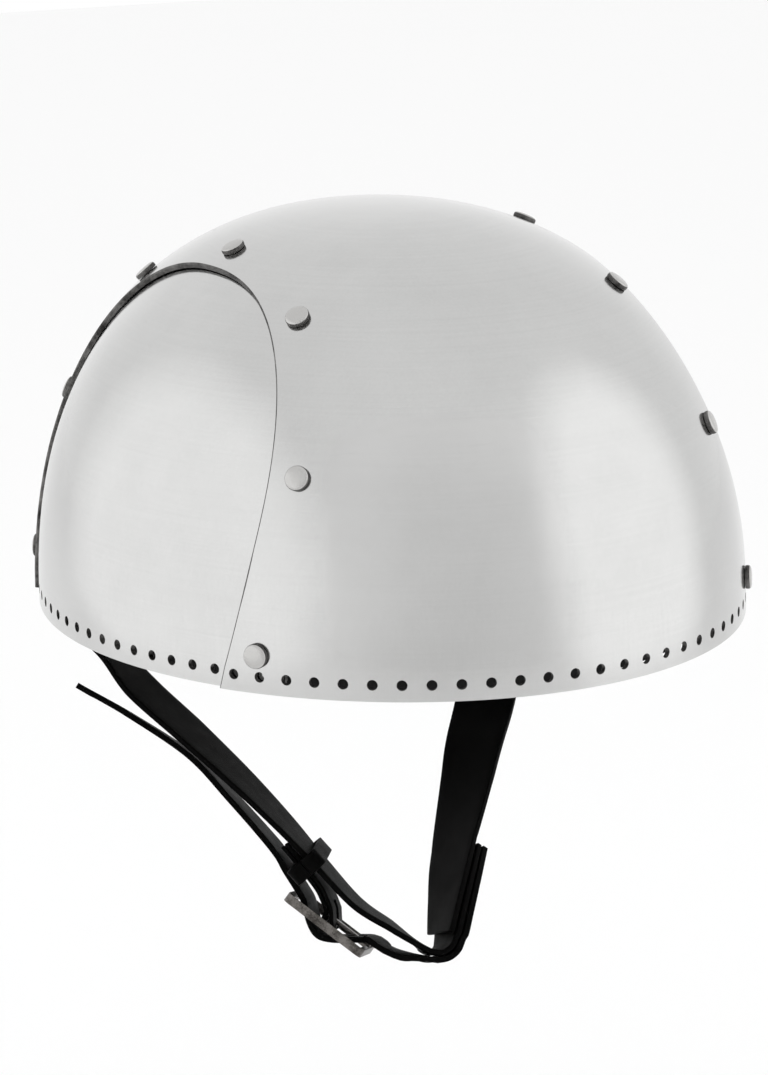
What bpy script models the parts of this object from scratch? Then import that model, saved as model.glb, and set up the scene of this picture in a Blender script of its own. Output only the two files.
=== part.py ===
"""A low open steel helmet with a leather chin strap.

A crown band runs from front to back with an arched opening over each ear. A side plate fills each
opening from inside, and seven rivets round each arch hold the two together. Small holes pierce the rim.

Metres, +Z up. The wearer faces -Y and the wearer's left is +X. The origin is the centre of the rim.
"""

import math
from collections import namedtuple

import bmesh
import bpy
from mathutils import Matrix, Vector

# Helmet
LENGTH = 0.2388  # front to back over the crown band
WIDTH = 0.2094
HEIGHT = 0.1196  # rim to crown
ROUND_UP = 2.22  # exponents of the dome's profile, 2 and 2 would be an ellipse
ROUND_OUT = 2.3
PLATE = 0.0016
GAP = 0.0003  # between neighbouring pieces
SEAM_GAP = 0.0004  # between the crown band and a side plate

# Arched opening of the crown band, as seen from the side
ARCH_FORWARD = 0.0030  # from the helmet's middle to the arch's
ARCH_HALF_WIDTH = 0.0694
ARCH_SPRING = 0.0397  # height of its widest place
ARCH_FOOT_IN = 0.0062  # each leg leans in by this at the rim
ARCH_ROUND = 2.2
BAND_TOP = 0.11257  # width of the band over the top, between the arches
OVERLAP = 0.0185  # of a side plate under the band

# Rim holes
HOLE = 0.0030
HOLE_HEIGHT = 0.0047
HOLE_MARGIN = 0.0035  # from an arch's leg to the nearest holes
FRONT_HOLES = 26
SIDE_HOLES = 17
REAR_HOLES = 28

# Rivets
RIVETS = 7  # round each arch
RIVET_MARGIN = 0.0090  # from the arch's edge
RIVET_FOOT = 0.0107  # height of the lowest ones
RIVET_HEAD = 0.0070
RIVET_RISE = 0.0020
RIVET_EDGE = 0.0005  # bevel round its head
RIVET_SHANK = 0.0030
RIVET_END = 0.0052  # hammered end inside
RIVET_END_RISE = 0.0009

# Chin strap
STRAP_WIDTH = 0.0200
STRAP = 0.0018  # thickness
STRAP_DROP = 0.1160  # rim to the lowest bend
STRAP_TAB = 0.0090  # of a strap's end past its rivet
STRAP_JOIN = 0.0280  # length of the sewn layers under the left strap

# Buckle, keeper and the folded leather that holds the buckle
BUCKLE_LENGTH = 0.0294
BUCKLE_WIDTH = 0.0280
BUCKLE_BAR = 0.0019
BUCKLE_HEADING = -32.0  # of its bars, in degrees from straight ahead
BUCKLE_RISE = 16.0
CHAPE = 0.0012
CHAPE_SLOT = 0.0048
CHAPE_ARC = (40, -200)  # of its fold round the bar, in degrees from the frame's long way
PRONG_WIDTH = 0.0030
PRONG = 0.0010
PRONG_ARC = (380, 90)
KEEPER_LENGTH = 0.0055
KEEPER_WALL = 0.0014
KEEPER_ROOM = 0.0027  # slack round what it holds

# Fineness of the curved shapes
DOME_SIDES = 56
DOME_ROWS = 9
ARCH_STEPS = 26
HOLE_SIDES = 8
RIVET_SIDES = 10
STRAP_STEP = 0.0036
CUT = 0.0100  # how far the cutting shapes reach past the walls

HALF_LENGTH = LENGTH / 2
HALF_WIDTH = WIDTH / 2
ARCH_HEIGHT = HEIGHT * (1 - (BAND_TOP / WIDTH) ** ROUND_OUT) ** (1 / ROUND_UP)
INNER_SKIN = PLATE + SEAM_GAP + PLATE  # depth of a side plate's inner face
FACET = (math.pi * WIDTH / DOME_SIDES) ** 2 / 8 / HALF_WIDTH  # flat facets stand in from the round wall
STRAP_HOLLOW = STRAP_WIDTH**2 / 8 / HALF_WIDTH + 3 * FACET  # and so does a flat strap

# Centre lines of the straps under the helmet. side is in half widths, back in half lengths and drop in
# STRAP_DROPs; heading and rise turn the strap's width, in degrees from straight ahead and from level.
Station = namedtuple("Station", "side back drop heading rise")
RIGHT_ROUTE = (
    Station(-0.739, 0.518, 0.085, -33, 0),
    Station(-0.658, 0.447, 0.178, -38, 0),
    Station(-0.600, 0.378, 0.274, -43, 0),
    Station(-0.497, 0.275, 0.387, -44, 3),
    Station(-0.389, 0.173, 0.509, -43, 8),
    Station(-0.298, 0.087, 0.622, -40, 12),
    Station(-0.227, 0.026, 0.717, -36, 15),
    Station(-0.140, -0.040, 0.830, -33, 15),
    Station(-0.048, -0.090, 0.900, -29, 16),
    Station(0.023, -0.124, 0.955, -22, 19),
)
LEFT_ROUTE = (
    Station(0.762, 0.525, 0.121, 33, 0),
    Station(0.660, 0.432, 0.310, 39, 0),
    Station(0.522, 0.300, 0.457, 40, 0),
    Station(0.418, 0.197, 0.532, 34, 6),
    Station(0.339, 0.115, 0.604, 26, 12),
    Station(0.213, -0.008, 0.736, 11, 18),
    Station(0.152, -0.070, 0.809, 5, 18),
    Station(0.114, -0.104, 0.877, -2, 18),
    Station(0.090, -0.124, 0.931, -8, 18),
)
TAIL_ROUTE = (
    Station(-0.414, 0.196, 0.556, -30, 15),
    Station(-0.498, 0.276, 0.454, -27, 17),
    Station(-0.627, 0.400, 0.357, -24, 17),
    Station(-0.726, 0.494, 0.296, -22, 17),
)
# The right strap turns up behind the left one, and the long strap turns from there to the buckle.
RIGHT_TURN = (
    Station(0.039, -0.132, 0.967, -19, 20),
    Station(0.066, -0.139, 0.975, -16, 21),
    Station(0.090, -0.139, 0.966, -13, 21),
    Station(0.101, -0.135, 0.953, -11, 20),
)
LONG_TURN = (
    Station(0.121, -0.140, 0.958, -11, 20),
    Station(0.108, -0.146, 0.975, -12, 21),
    Station(0.089, -0.148, 0.987, -14, 21),
    Station(0.067, -0.147, 0.992, -16, 21),
    Station(0.044, -0.143, 0.990, -18, 21),
    Station(0.024, -0.138, 0.984, -20, 20),
    Station(-0.044, -0.119, 0.966, -27, 17),
    Station(-0.087, -0.107, 0.945, -30, 16),
)
BUCKLE_PLACE = Station(-0.206, -0.003, 0.890, BUCKLE_HEADING, BUCKLE_RISE)
BUCKLE_FAR_END = Station(-0.127, -0.079, 0.960, BUCKLE_HEADING, BUCKLE_RISE)

# Routes near the buckle, in BUCKLE_LENGTHs: along the frame towards the left strap, out of its plane
# towards the wearer, and aside along its bars.
Bend = namedtuple("Bend", "along out aside")
WEAVE = (
    Bend(0.460, 0.134, 0),
    Bend(0.330, 0.050, 0),
    Bend(0.150, -0.086, 0),
    Bend(0.000, -0.143, 0),
    Bend(-0.150, -0.086, 0),
    Bend(-0.330, 0.055, 0),
    Bend(-0.460, 0.112, 0),
    Bend(-0.660, 0.186, 0),
    Bend(-0.930, 0.290, 0),
)
CHAPE_ROUTE = (
    Bend(-0.830, 0.415, 0.150),
    Bend(-0.620, 0.368, 0.133),
    Bend(-0.420, 0.315, 0.114),
    Bend(-0.260, 0.262, 0.080),
    Bend(-0.140, 0.190, 0.030),
    Bend(-0.062, 0.135, 0.000),
)
KEEPER_PLACE = Bend(-0.560, 0.355, 0.127)


# Dome

def outward(point):
    """The dome's normal through a point."""
    across = Vector((point.x / HALF_WIDTH, point.y / HALF_LENGTH)).length
    level = ROUND_OUT * across ** (ROUND_OUT - 2)
    upright = ROUND_UP * (max(point.z, 0) / HEIGHT) ** (ROUND_UP - 1) / HEIGHT
    return Vector((level * point.x / HALF_WIDTH**2, level * point.y / HALF_LENGTH**2, upright)).normalized()


def dome_point(turn, height, depth=0.0):
    """A point of the dome: turn is 0 at the front and rises towards the wearer's left."""
    out = (1 - (max(height, 0) / HEIGHT) ** ROUND_UP) ** (1 / ROUND_OUT)
    point = Vector((HALF_WIDTH * out * math.sin(turn), -HALF_LENGTH * out * math.cos(turn), height))
    return point - depth * outward(point)


def on_dome(point):
    """The point moved on to the dome, straight out from the middle of the rim."""
    across = Vector((point.x / HALF_WIDTH, point.y / HALF_LENGTH)).length
    if point.z <= 0:
        return Vector((point.x / across, point.y / across, point.z))
    low, high = 0.5, 2.0
    for _ in range(40):
        scale = (low + high) / 2
        inside = (across * scale) ** ROUND_OUT + (point.z * scale / HEIGHT) ** ROUND_UP < 1
        low, high = (scale, high) if inside else (low, scale)
    return point * low


def rim_turns(start, end, holes):
    """Turns of evenly spaced holes along the rim, the first at start and the last at end."""
    steps = 200
    turns = [start + (end - start) * i / steps for i in range(steps + 1)]
    run = [0.0]
    for a, b in zip(turns, turns[1:]):
        run.append(run[-1] + (dome_point(b, HOLE_HEIGHT) - dome_point(a, HOLE_HEIGHT)).length)
    found = []
    for i in range(holes):
        goal = run[-1] * i / (holes - 1)
        j = min(max(k for k in range(steps + 1) if run[k] <= goal + 1e-9), steps - 1)
        share = (goal - run[j]) / (run[j + 1] - run[j])
        found.append(turns[j] + share * (turns[j + 1] - turns[j]))
    return found


# Arch

def arch_half_width(height):
    """Half the opening's width at a height under its widest place."""
    return ARCH_HALF_WIDTH - ARCH_FOOT_IN * ((ARCH_SPRING - height) / ARCH_SPRING) ** 2


def arch_curve(side, grow=0.0):
    """Points on the dome up the arch's front leg, over and down its rear one, grown outwards."""
    flat = []
    legs = 6
    for i in range(legs):
        height = (ARCH_SPRING + CUT) * i / legs - CUT
        flat.append((-arch_half_width(max(height, 0)), height))
    rear = [(-along, height) for along, height in reversed(flat)]
    for i in range(ARCH_STEPS + 1):
        angle = math.pi * (1 - i / ARCH_STEPS)
        along = math.copysign(abs(math.cos(angle)) ** (2 / ARCH_ROUND), math.cos(angle)) * ARCH_HALF_WIDTH
        height = ARCH_SPRING + (ARCH_HEIGHT - ARCH_SPRING) * abs(math.sin(angle)) ** (2 / ARCH_ROUND)
        flat.append((along, height))
    points = []
    for along, height in flat + rear:
        y = along - ARCH_FORWARD
        out = (1 - (max(height, 0) / HEIGHT) ** ROUND_UP) ** (1 / ROUND_OUT)
        x = HALF_WIDTH * math.sqrt(out**2 - (y / HALF_LENGTH) ** 2)
        points.append(Vector((side * x, y, height)))
    if not grow:
        return points
    grown = []
    for i, point in enumerate(points):
        along = points[min(i + 1, len(points) - 1)] - points[max(i - 1, 0)]
        away = side * along.cross(outward(point)).normalized()
        grown.append(on_dome(point - grow * away))
    return grown


def cut_at(points, foot):
    """The part of a curve over a height, with its two ends at that height."""
    kept = []
    for a, b in zip(points, points[1:]):
        if (a.z < foot) != (b.z < foot):
            kept.append(a.lerp(b, (foot - a.z) / (b.z - a.z)))
        if b.z >= foot:
            kept.append(b)
    return kept


def evenly(points, count):
    """Evenly spaced points along a curve, both ends included."""
    run = [0.0]
    for a, b in zip(points, points[1:]):
        run.append(run[-1] + (b - a).length)
    found = []
    for i in range(count):
        goal = run[-1] * i / (count - 1)
        j = min(max(k for k, length in enumerate(run) if length <= goal + 1e-9), len(points) - 2)
        found.append(points[j].lerp(points[j + 1], (goal - run[j]) / (run[j + 1] - run[j])))
    return found


def rivet_places(side):
    """Seven places on the dome round one arch, from the front foot to the rear one."""
    curve = cut_at(arch_curve(side, RIVET_MARGIN), RIVET_FOOT)
    return [on_dome(point) for point in evenly(curve, RIVETS)]


# Objects

def material(name, colour, roughness, metallic):
    made = bpy.data.materials.new(name)
    made.use_nodes = True
    shader = made.node_tree.nodes["Principled BSDF"]
    shader.inputs["Base Color"].default_value = (*colour, 1)
    shader.inputs["Roughness"].default_value = roughness
    shader.inputs["Metallic"].default_value = metallic
    return made


def add(name, mesh_maker, finish=None):
    """A new object from a bmesh; one with no finish is a cutting shape and stays out of renders."""
    mesh = bpy.data.meshes.new(name)
    mesh_maker.to_mesh(mesh)
    mesh_maker.free()
    thing = bpy.data.objects.new(name, mesh)
    bpy.context.scene.collection.objects.link(thing)
    if finish:
        mesh.materials.append(finish)
        mesh.shade_smooth()
        mesh.set_sharp_from_angle(angle=math.radians(40))
    else:
        thing.hide_render = True
        thing.display_type = "WIRE"
    return thing


def boolean(thing, operation, cutter):
    modifier = thing.modifiers.new(operation.lower(), "BOOLEAN")
    modifier.operation = operation
    modifier.solver = "EXACT"
    modifier.object = cutter


def skin_rings(bm, rings, close_start=True, close_end=True):
    """Quads between closed rings of points, with a face over each end."""
    made = [[bm.verts.new(point) for point in ring] for ring in rings]
    for ring, following in zip(made, made[1:]):
        for i in range(len(ring)):
            j = (i + 1) % len(ring)
            bm.faces.new((ring[i], ring[j], following[j], following[i]))
    if close_start:
        bm.faces.new(reversed(made[0]))
    if close_end:
        bm.faces.new(made[-1])
    return made


def dome_shell(name, depth, finish):
    """A whole dome of one plate's thickness, its outer face at a depth under the crown band's."""
    bm = bmesh.new()
    rings = []
    for skin in (depth, depth + PLATE):
        rows = []
        for row in range(DOME_ROWS):
            share = math.sin(math.pi / 2 * row / DOME_ROWS)
            height = HEIGHT * share ** (2 / ROUND_UP)
            turns = [2 * math.pi * i / DOME_SIDES for i in range(DOME_SIDES)]
            rows.append([dome_point(turn, height, skin) for turn in turns])
        rings.append(rows)
    outer = skin_rings(bm, rings[0], False, False)
    inner = skin_rings(bm, list(reversed(rings[1])), False, False)
    for ring, skin in ((outer[-1], depth), (inner[0], depth + PLATE)):
        top = bm.verts.new((0, 0, HEIGHT - skin))
        for i in range(DOME_SIDES):
            pair = (ring[i], ring[(i + 1) % DOME_SIDES])
            bm.faces.new((*pair, top) if skin == depth else (*reversed(pair), top))
    for i in range(DOME_SIDES):
        j = (i + 1) % DOME_SIDES
        bm.faces.new((outer[0][j], outer[0][i], inner[-1][i], inner[-1][j]))
    bmesh.ops.recalc_face_normals(bm, faces=bm.faces)
    return add(name, bm, finish)


def arch_cutter(name, side, grow):
    """A plug that fills the arch's opening, its walls square to the dome, and reaches under the rim."""
    curve = arch_curve(side, grow)
    start, end = curve[-1], curve[0]
    under = []
    steps = 10
    for i in range(1, steps):
        under.append(on_dome(start.lerp(end, i / steps)))
    loop = curve + under
    bm = bmesh.new()
    outer = [bm.verts.new(point + CUT * outward(point)) for point in loop]
    inner = [bm.verts.new(point - CUT * outward(point)) for point in loop]
    middle = Vector((side * HALF_WIDTH, -ARCH_FORWARD, ARCH_SPRING))
    outer_cap = bm.verts.new(middle + Vector((side * 3 * CUT, 0, 0)))
    inner_cap = bm.verts.new(middle - Vector((side * 4 * CUT, 0, 0)))
    for i in range(len(loop)):
        j = (i + 1) % len(loop)
        bm.faces.new((outer[i], outer[j], inner[j], inner[i]))
        bm.faces.new((outer[j], outer[i], outer_cap))
        bm.faces.new((inner[i], inner[j], inner_cap))
    bmesh.ops.recalc_face_normals(bm, faces=bm.faces)
    return add(name, bm)


def peg(bm, point, normal, radius, low, high, sides):
    """A straight peg through a point, from low to high along its normal."""
    turn = normal.to_track_quat("Z", "Y").to_matrix()
    rings = []
    for level in (low, high):
        ring = [Vector((radius * math.cos(a), radius * math.sin(a), level)) for a in circle(sides)]
        rings.append([point + turn @ corner for corner in ring])
    skin_rings(bm, rings)


def circle(sides):
    return [2 * math.pi * (i + 0.5) / sides for i in range(sides)]


def hole_cutter(name, turns, places):
    """Pegs for rim holes at some turns and for rivet holes at some places on the dome."""
    bm = bmesh.new()
    for turn in turns:
        point = dome_point(turn, HOLE_HEIGHT)
        peg(bm, point, outward(point), HOLE / 2, -CUT, CUT, HOLE_SIDES)
    for point in places:
        peg(bm, point, outward(point), RIVET_SHANK / 2 + GAP, -CUT, CUT, HOLE_SIDES)
    bmesh.ops.recalc_face_normals(bm, faces=bm.faces)
    return add(name, bm)


def leg_turn(side, sign, margin):
    """Turn of an arch leg at the rim holes' height, moved by a margin along the rim."""
    along = ARCH_FORWARD + sign * arch_half_width(HOLE_HEIGHT)
    turn = math.acos(along / HALF_LENGTH)
    return side * (turn + margin / HALF_WIDTH)


def crown_band(finish):
    band = dome_shell("crown_band", 0.0, finish)
    places = []
    for side, word in ((-1, "right"), (1, "left")):
        boolean(band, "DIFFERENCE", arch_cutter(f"cut_arch_{word}", side, 0.0))
        places += rivet_places(side)
    front = leg_turn(1, 1, -HOLE_MARGIN)
    rear = leg_turn(1, -1, HOLE_MARGIN)
    turns = rim_turns(-front, front, FRONT_HOLES) + rim_turns(rear, 2 * math.pi - rear, REAR_HOLES)
    boolean(band, "DIFFERENCE", hole_cutter("cut_band_holes", turns, places))


def side_plate(word, side, finish):
    plate = dome_shell(f"side_plate_{word}", PLATE + SEAM_GAP, finish)
    boolean(plate, "INTERSECT", arch_cutter(f"keep_plate_{word}", side, OVERLAP))
    ends = leg_turn(side, 1, HOLE_MARGIN), leg_turn(side, -1, -HOLE_MARGIN)
    turns = rim_turns(*ends, SIDE_HOLES)
    boolean(plate, "DIFFERENCE", hole_cutter(f"cut_plate_holes_{word}", turns, rivet_places(side)))


def rivet(name, point, depth, finish):
    """A flat-headed rivet whose hammered end starts at a depth under the crown band's face."""
    head, shank, end = RIVET_HEAD / 2, RIVET_SHANK / 2, RIVET_END / 2
    profile = (
        (end, -depth - RIVET_END_RISE),
        (end, -depth),
        (shank, -depth),
        (shank, GAP),
        (head, GAP),
        (head, RIVET_RISE - RIVET_EDGE),
        (head - RIVET_EDGE, RIVET_RISE),
    )
    normal = outward(point)
    turn = normal.to_track_quat("Z", "Y").to_matrix()
    rings = []
    for radius, level in profile:
        ring = [Vector((radius * math.cos(a), radius * math.sin(a), level)) for a in circle(RIVET_SIDES)]
        rings.append([point + turn @ corner for corner in ring])
    bm = bmesh.new()
    skin_rings(bm, rings)
    bmesh.ops.recalc_face_normals(bm, faces=bm.faces)
    add(name, bm, finish)


# Straps

def width_way(heading, rise):
    """The way a strap's width points, from its heading and rise in degrees."""
    heading, rise = math.radians(heading), math.radians(rise)
    return Vector((math.sin(heading) * math.cos(rise), -math.cos(heading) * math.cos(rise), math.sin(rise)))


def placed(station):
    """A station's point and width, in metres."""
    point = Vector((station.side * HALF_WIDTH, station.back * HALF_LENGTH, -station.drop * STRAP_DROP))
    return point, width_way(station.heading, station.rise)


def smooth(rows, step=STRAP_STEP):
    """Rows of point and width read from a smooth curve through the given ones, about a step apart."""
    found = []
    for i in range(len(rows) - 1):
        near = [rows[max(i - 1, 0)], rows[i], rows[i + 1], rows[min(i + 2, len(rows) - 1)]]
        count = max(1, round((rows[i + 1][0] - rows[i][0]).length / step))
        for k in range(count):
            t = k / count
            blend = (
                (-t + 2 * t**2 - t**3) / 2,
                (2 - 5 * t**2 + 3 * t**3) / 2,
                (t + 4 * t**2 - 3 * t**3) / 2,
                (-(t**2) + t**3) / 2,
            )
            point = sum((share * row[0] for share, row in zip(blend, near)), Vector())
            found.append((point, rows[i][1].lerp(rows[i + 1][1], t)))
    return found + [rows[-1]]


def frames(rows):
    """Point, width and face normal at each row; the normal is width cross the way along."""
    found = []
    for i, (point, width) in enumerate(rows):
        along = (rows[min(i + 1, len(rows) - 1)][0] - rows[max(i - 1, 0)][0]).normalized()
        width = (width - width.dot(along) * along).normalized()
        found.append((point, width, width.cross(along)))
    return found


def shifted(framed, distance):
    """The rows moved off the strap's face, along its normal."""
    return [(point + distance * normal, width, normal) for point, width, normal in framed]


def backwards(framed):
    """The same rows, run the other way."""
    return [(point, width, -normal) for point, width, normal in framed[::-1]]


def last_stretch(framed, length):
    """The rows of the last stretch of a strap."""
    run = 0.0
    for i in range(len(framed) - 1, 0, -1):
        run += (framed[i][0] - framed[i - 1][0]).length
        if run >= length:
            return framed[i - 1:]
    return framed


def strip(name, framed, thickness, finish, width=STRAP_WIDTH):
    """A strap of rectangular section along its rows."""
    rings = []
    for point, across, normal in framed:
        half = across * width / 2
        start, end = point - half, point + half
        thick = normal * thickness / 2
        rings.append([start - thick, end - thick, end + thick, start + thick])
    bm = bmesh.new()
    skin_rings(bm, rings)
    bmesh.ops.recalc_face_normals(bm, faces=bm.faces)
    if bm.calc_volume(signed=True) < 0:
        bmesh.ops.reverse_faces(bm, faces=bm.faces)
    return add(name, bm, finish)


def wall_rows(side):
    """A strap's end, flat on the inner wall behind the rear rivet."""
    foot = rivet_places(side)[-1]
    turn = math.atan2(foot.x / HALF_WIDTH, -foot.y / HALF_LENGTH)
    depth = INNER_SKIN + GAP + STRAP_HOLLOW + STRAP / 2
    rows = []
    for height in (RIVET_FOOT + STRAP_TAB, RIVET_FOOT, RIVET_FOOT / 4):
        point = dome_point(turn, height, depth)
        normal = outward(point)
        rows.append((point, -side * Vector((0, 0, 1)).cross(normal)))
    return rows


def strap_stack():
    """Depth of an anchored strap's inner face under the crown band's outer one."""
    return INNER_SKIN + GAP + STRAP_HOLLOW + STRAP


def anchored(name, side, framed, finish):
    """A strap with a hole for the rivet that holds its end."""
    foot = rivet_places(side)[-1]
    bm = bmesh.new()
    peg(bm, foot, outward(foot), RIVET_SHANK / 2 + GAP, -CUT, CUT, HOLE_SIDES)
    bmesh.ops.recalc_face_normals(bm, faces=bm.faces)
    cutter = add(f"cut_{name}", bm)
    boolean(strip(name, framed, STRAP, finish), "DIFFERENCE", cutter)


def buckle_frame_axes():
    """Centre of the buckle, its long way, its width and the way out towards the wearer."""
    centre, width = placed(BUCKLE_PLACE)
    along = (placed(BUCKLE_FAR_END)[0] - centre).normalized()
    width = (width - width.dot(along) * along).normalized()
    return centre, along, width, width.cross(along)


def bends(table):
    """Rows of a route near the buckle."""
    centre, along, width, out = buckle_frame_axes()
    rows = []
    for bend in table:
        away = bend.along * along + bend.out * out + bend.aside * width
        rows.append((centre + BUCKLE_LENGTH * away, width))
    return rows


def box(bm, centre, axes, sizes):
    """A box with its sides along three axes."""
    place = Matrix((axes[0] * sizes[0], axes[1] * sizes[1], axes[2] * sizes[2])).transposed().to_4x4()
    place.translation = centre
    bmesh.ops.create_cube(bm, size=1, matrix=place)


def buckle_frame(finish):
    centre, along, width, out = buckle_frame_axes()
    axes = (along, width, out)
    bm = bmesh.new()
    box(bm, centre, axes, (BUCKLE_LENGTH, BUCKLE_WIDTH, BUCKLE_BAR))
    corners = []
    for edge in bm.edges:
        way = (edge.verts[0].co - edge.verts[1].co).normalized()
        if abs(way.dot(out)) > 0.9:
            corners.append(edge)
    bmesh.ops.bevel(bm, geom=corners, offset=BUCKLE_BAR, segments=3, profile=0.5, affect="EDGES")
    bmesh.ops.recalc_face_normals(bm, faces=bm.faces)
    frame = add("buckle_frame", bm, finish)
    bm = bmesh.new()
    inner = (BUCKLE_LENGTH - 2 * BUCKLE_BAR, BUCKLE_WIDTH - 2 * BUCKLE_BAR, 4 * BUCKLE_BAR)
    box(bm, centre, axes, inner)
    bmesh.ops.recalc_face_normals(bm, faces=bm.faces)
    boolean(frame, "DIFFERENCE", add("cut_buckle", bm))
    bm = bmesh.new()
    reach = BUCKLE_WIDTH / 2 - BUCKLE_BAR / 2
    peg(bm, centre, width, BUCKLE_BAR / 2, -reach, reach, 2 * HOLE_SIDES)
    bmesh.ops.recalc_face_normals(bm, faces=bm.faces)
    boolean(frame, "UNION", add("cut_buckle_bar", bm))


def curl(radius, arc, steps):
    """Rows of an arc round the buckle's bar, by the angle from its long way towards the wearer."""
    centre, along, width, out = buckle_frame_axes()
    start, end = arc
    found = []
    for i in range(steps + 1):
        angle = math.radians(start + (end - start) * i / steps)
        away = math.cos(angle) * along + math.sin(angle) * out
        found.append((centre + radius * away, width, away))
    return found


def buckle_prong(finish):
    """The prong: a curl round the bar and a shank that rests on the far end of the frame."""
    centre, along, width, out = buckle_frame_axes()
    radius = BUCKLE_BAR / 2 + GAP + PRONG / 2
    tip = centre + (BUCKLE_LENGTH / 2 - BUCKLE_BAR / 4) * along + radius * out
    strip("buckle_prong", curl(radius, PRONG_ARC, 14) + [(tip, width, out)], PRONG, finish, PRONG_WIDTH)


def buckle_chape(finish):
    """Leather folded round the buckle's bar, both legs running up together to the right strap."""
    centre, along, width, out = buckle_frame_axes()
    legs = [(point, width, normal) for point, _, normal in frames(smooth(bends(CHAPE_ROUTE)))]
    apart = (CHAPE + GAP) / 2
    fold = curl(BUCKLE_BAR / 2 + GAP + CHAPE / 2, CHAPE_ARC, 9)
    framed = shifted(legs, apart) + fold + backwards(shifted(legs, -apart))
    chape = strip("buckle_chape", framed, CHAPE, finish)
    bm = bmesh.new()
    box(bm, centre + BUCKLE_BAR * out, (along, width, out), (5 * BUCKLE_BAR, CHAPE_SLOT, 5 * BUCKLE_BAR))
    bmesh.ops.recalc_face_normals(bm, faces=bm.faces)
    boolean(chape, "DIFFERENCE", add("cut_chape_slot", bm))


def keeper_loop(framed, finish):
    """A leather loop round the right strap and the end of the buckle's folded leather."""
    goal = bends([KEEPER_PLACE])[0][0]
    point, width, normal = min(framed, key=lambda row: (row[0] - goal).length)
    along = normal.cross(width)
    apart = (goal - point).dot(normal)
    reach = abs(apart) + CHAPE + GAP / 2
    centre = point + math.copysign((reach - STRAP / 2) / 2, apart) * normal
    room = (2 * KEEPER_LENGTH, STRAP_WIDTH + KEEPER_ROOM, reach + STRAP / 2 + KEEPER_ROOM)
    sizes = (KEEPER_LENGTH, room[1] + 2 * KEEPER_WALL, room[2] + 2 * KEEPER_WALL)
    bm = bmesh.new()
    box(bm, centre, (along, width, normal), sizes)
    bmesh.ops.recalc_face_normals(bm, faces=bm.faces)
    keeper = add("keeper_loop", bm, finish)
    bm = bmesh.new()
    box(bm, centre, (along, width, normal), room)
    bmesh.ops.recalc_face_normals(bm, faces=bm.faces)
    boolean(keeper, "DIFFERENCE", add("cut_keeper", bm))


def prong_slot(strap):
    """The hole in the long strap that the prong passes through."""
    centre, along, width, out = buckle_frame_axes()
    start, end = BUCKLE_LENGTH * WEAVE[1].along - 3 * PRONG, BUCKLE_LENGTH / 2 - BUCKLE_BAR / 2
    bm = bmesh.new()
    middle = centre + (start + end) / 2 * along + (BUCKLE_BAR / 2 + PRONG) * out
    box(bm, middle, (along, width, out), (end - start, PRONG_WIDTH + 4 * GAP, 4 * PRONG))
    bmesh.ops.recalc_face_normals(bm, faces=bm.faces)
    boolean(strap, "DIFFERENCE", add("cut_prong_slot", bm))


def main():
    for thing in list(bpy.data.objects):
        bpy.data.objects.remove(thing, do_unlink=True)
    steel = material("polished_steel", (0.60, 0.60, 0.59), 0.28, 1.0)
    plate_steel = material("plate_steel", (0.62, 0.62, 0.61), 0.28, 1.0)
    rivet_steel = material("rivet_steel", (0.55, 0.55, 0.54), 0.32, 1.0)
    leather = material("black_leather", (0.020, 0.019, 0.018), 0.62, 0.0)
    buckle_steel = material("buckle_steel", (0.50, 0.48, 0.46), 0.35, 1.0)

    crown_band(steel)
    for side, word in ((-1, "right"), (1, "left")):
        side_plate(word, side, plate_steel)
        for number, place in enumerate(rivet_places(side), 1):
            depth = strap_stack() + GAP if number == RIVETS else INNER_SKIN + GAP + 2 * FACET
            rivet(f"rivet_{word}_{number}", place, depth, rivet_steel)

    left = frames(smooth(wall_rows(1) + [placed(station) for station in LEFT_ROUTE]))
    anchored("chin_strap_left", 1, left, leather)
    seam = last_stretch(left, STRAP_JOIN)
    layer = STRAP + 2 * GAP

    sewn = backwards(shifted(seam, layer))
    rows = smooth(wall_rows(-1) + [placed(station) for station in RIGHT_ROUTE + RIGHT_TURN])
    right = frames(rows + [row[:2] for row in sewn])[:len(rows)] + sewn
    anchored("chin_strap_right", -1, right, leather)

    sewn = shifted(seam, 2 * layer)
    turn = [placed(station) for station in LONG_TURN]
    tail = [placed(station) for station in TAIL_ROUTE]
    rows = [row[:2] for row in sewn] + smooth(turn + bends(WEAVE) + tail)
    prong_slot(strip("chin_strap_long", sewn + frames(rows)[len(sewn):], STRAP, leather))

    keeper_loop(right, leather)
    buckle_frame(buckle_steel)
    buckle_prong(buckle_steel)
    buckle_chape(leather)


main()
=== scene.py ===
import math
from collections import namedtuple

import bpy
from mathutils import Matrix, Vector


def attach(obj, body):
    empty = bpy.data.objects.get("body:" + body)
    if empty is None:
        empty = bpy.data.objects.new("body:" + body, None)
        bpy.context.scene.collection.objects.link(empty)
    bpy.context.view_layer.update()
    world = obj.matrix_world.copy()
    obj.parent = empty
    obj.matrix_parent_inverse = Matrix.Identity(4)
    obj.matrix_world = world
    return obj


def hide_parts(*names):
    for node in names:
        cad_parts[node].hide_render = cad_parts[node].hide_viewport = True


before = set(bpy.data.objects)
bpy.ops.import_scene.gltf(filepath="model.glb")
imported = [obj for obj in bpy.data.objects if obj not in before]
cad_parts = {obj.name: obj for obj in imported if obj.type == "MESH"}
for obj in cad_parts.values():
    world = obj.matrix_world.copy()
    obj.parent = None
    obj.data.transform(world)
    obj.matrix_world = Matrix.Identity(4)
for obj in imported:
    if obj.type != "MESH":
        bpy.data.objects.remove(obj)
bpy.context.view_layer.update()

# Helmet, in metres
LENGTH = 0.2388
WIDTH = 0.2094
HEIGHT = 0.1196
ROUND_UP = 2.22
ROUND_OUT = 2.3
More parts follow.
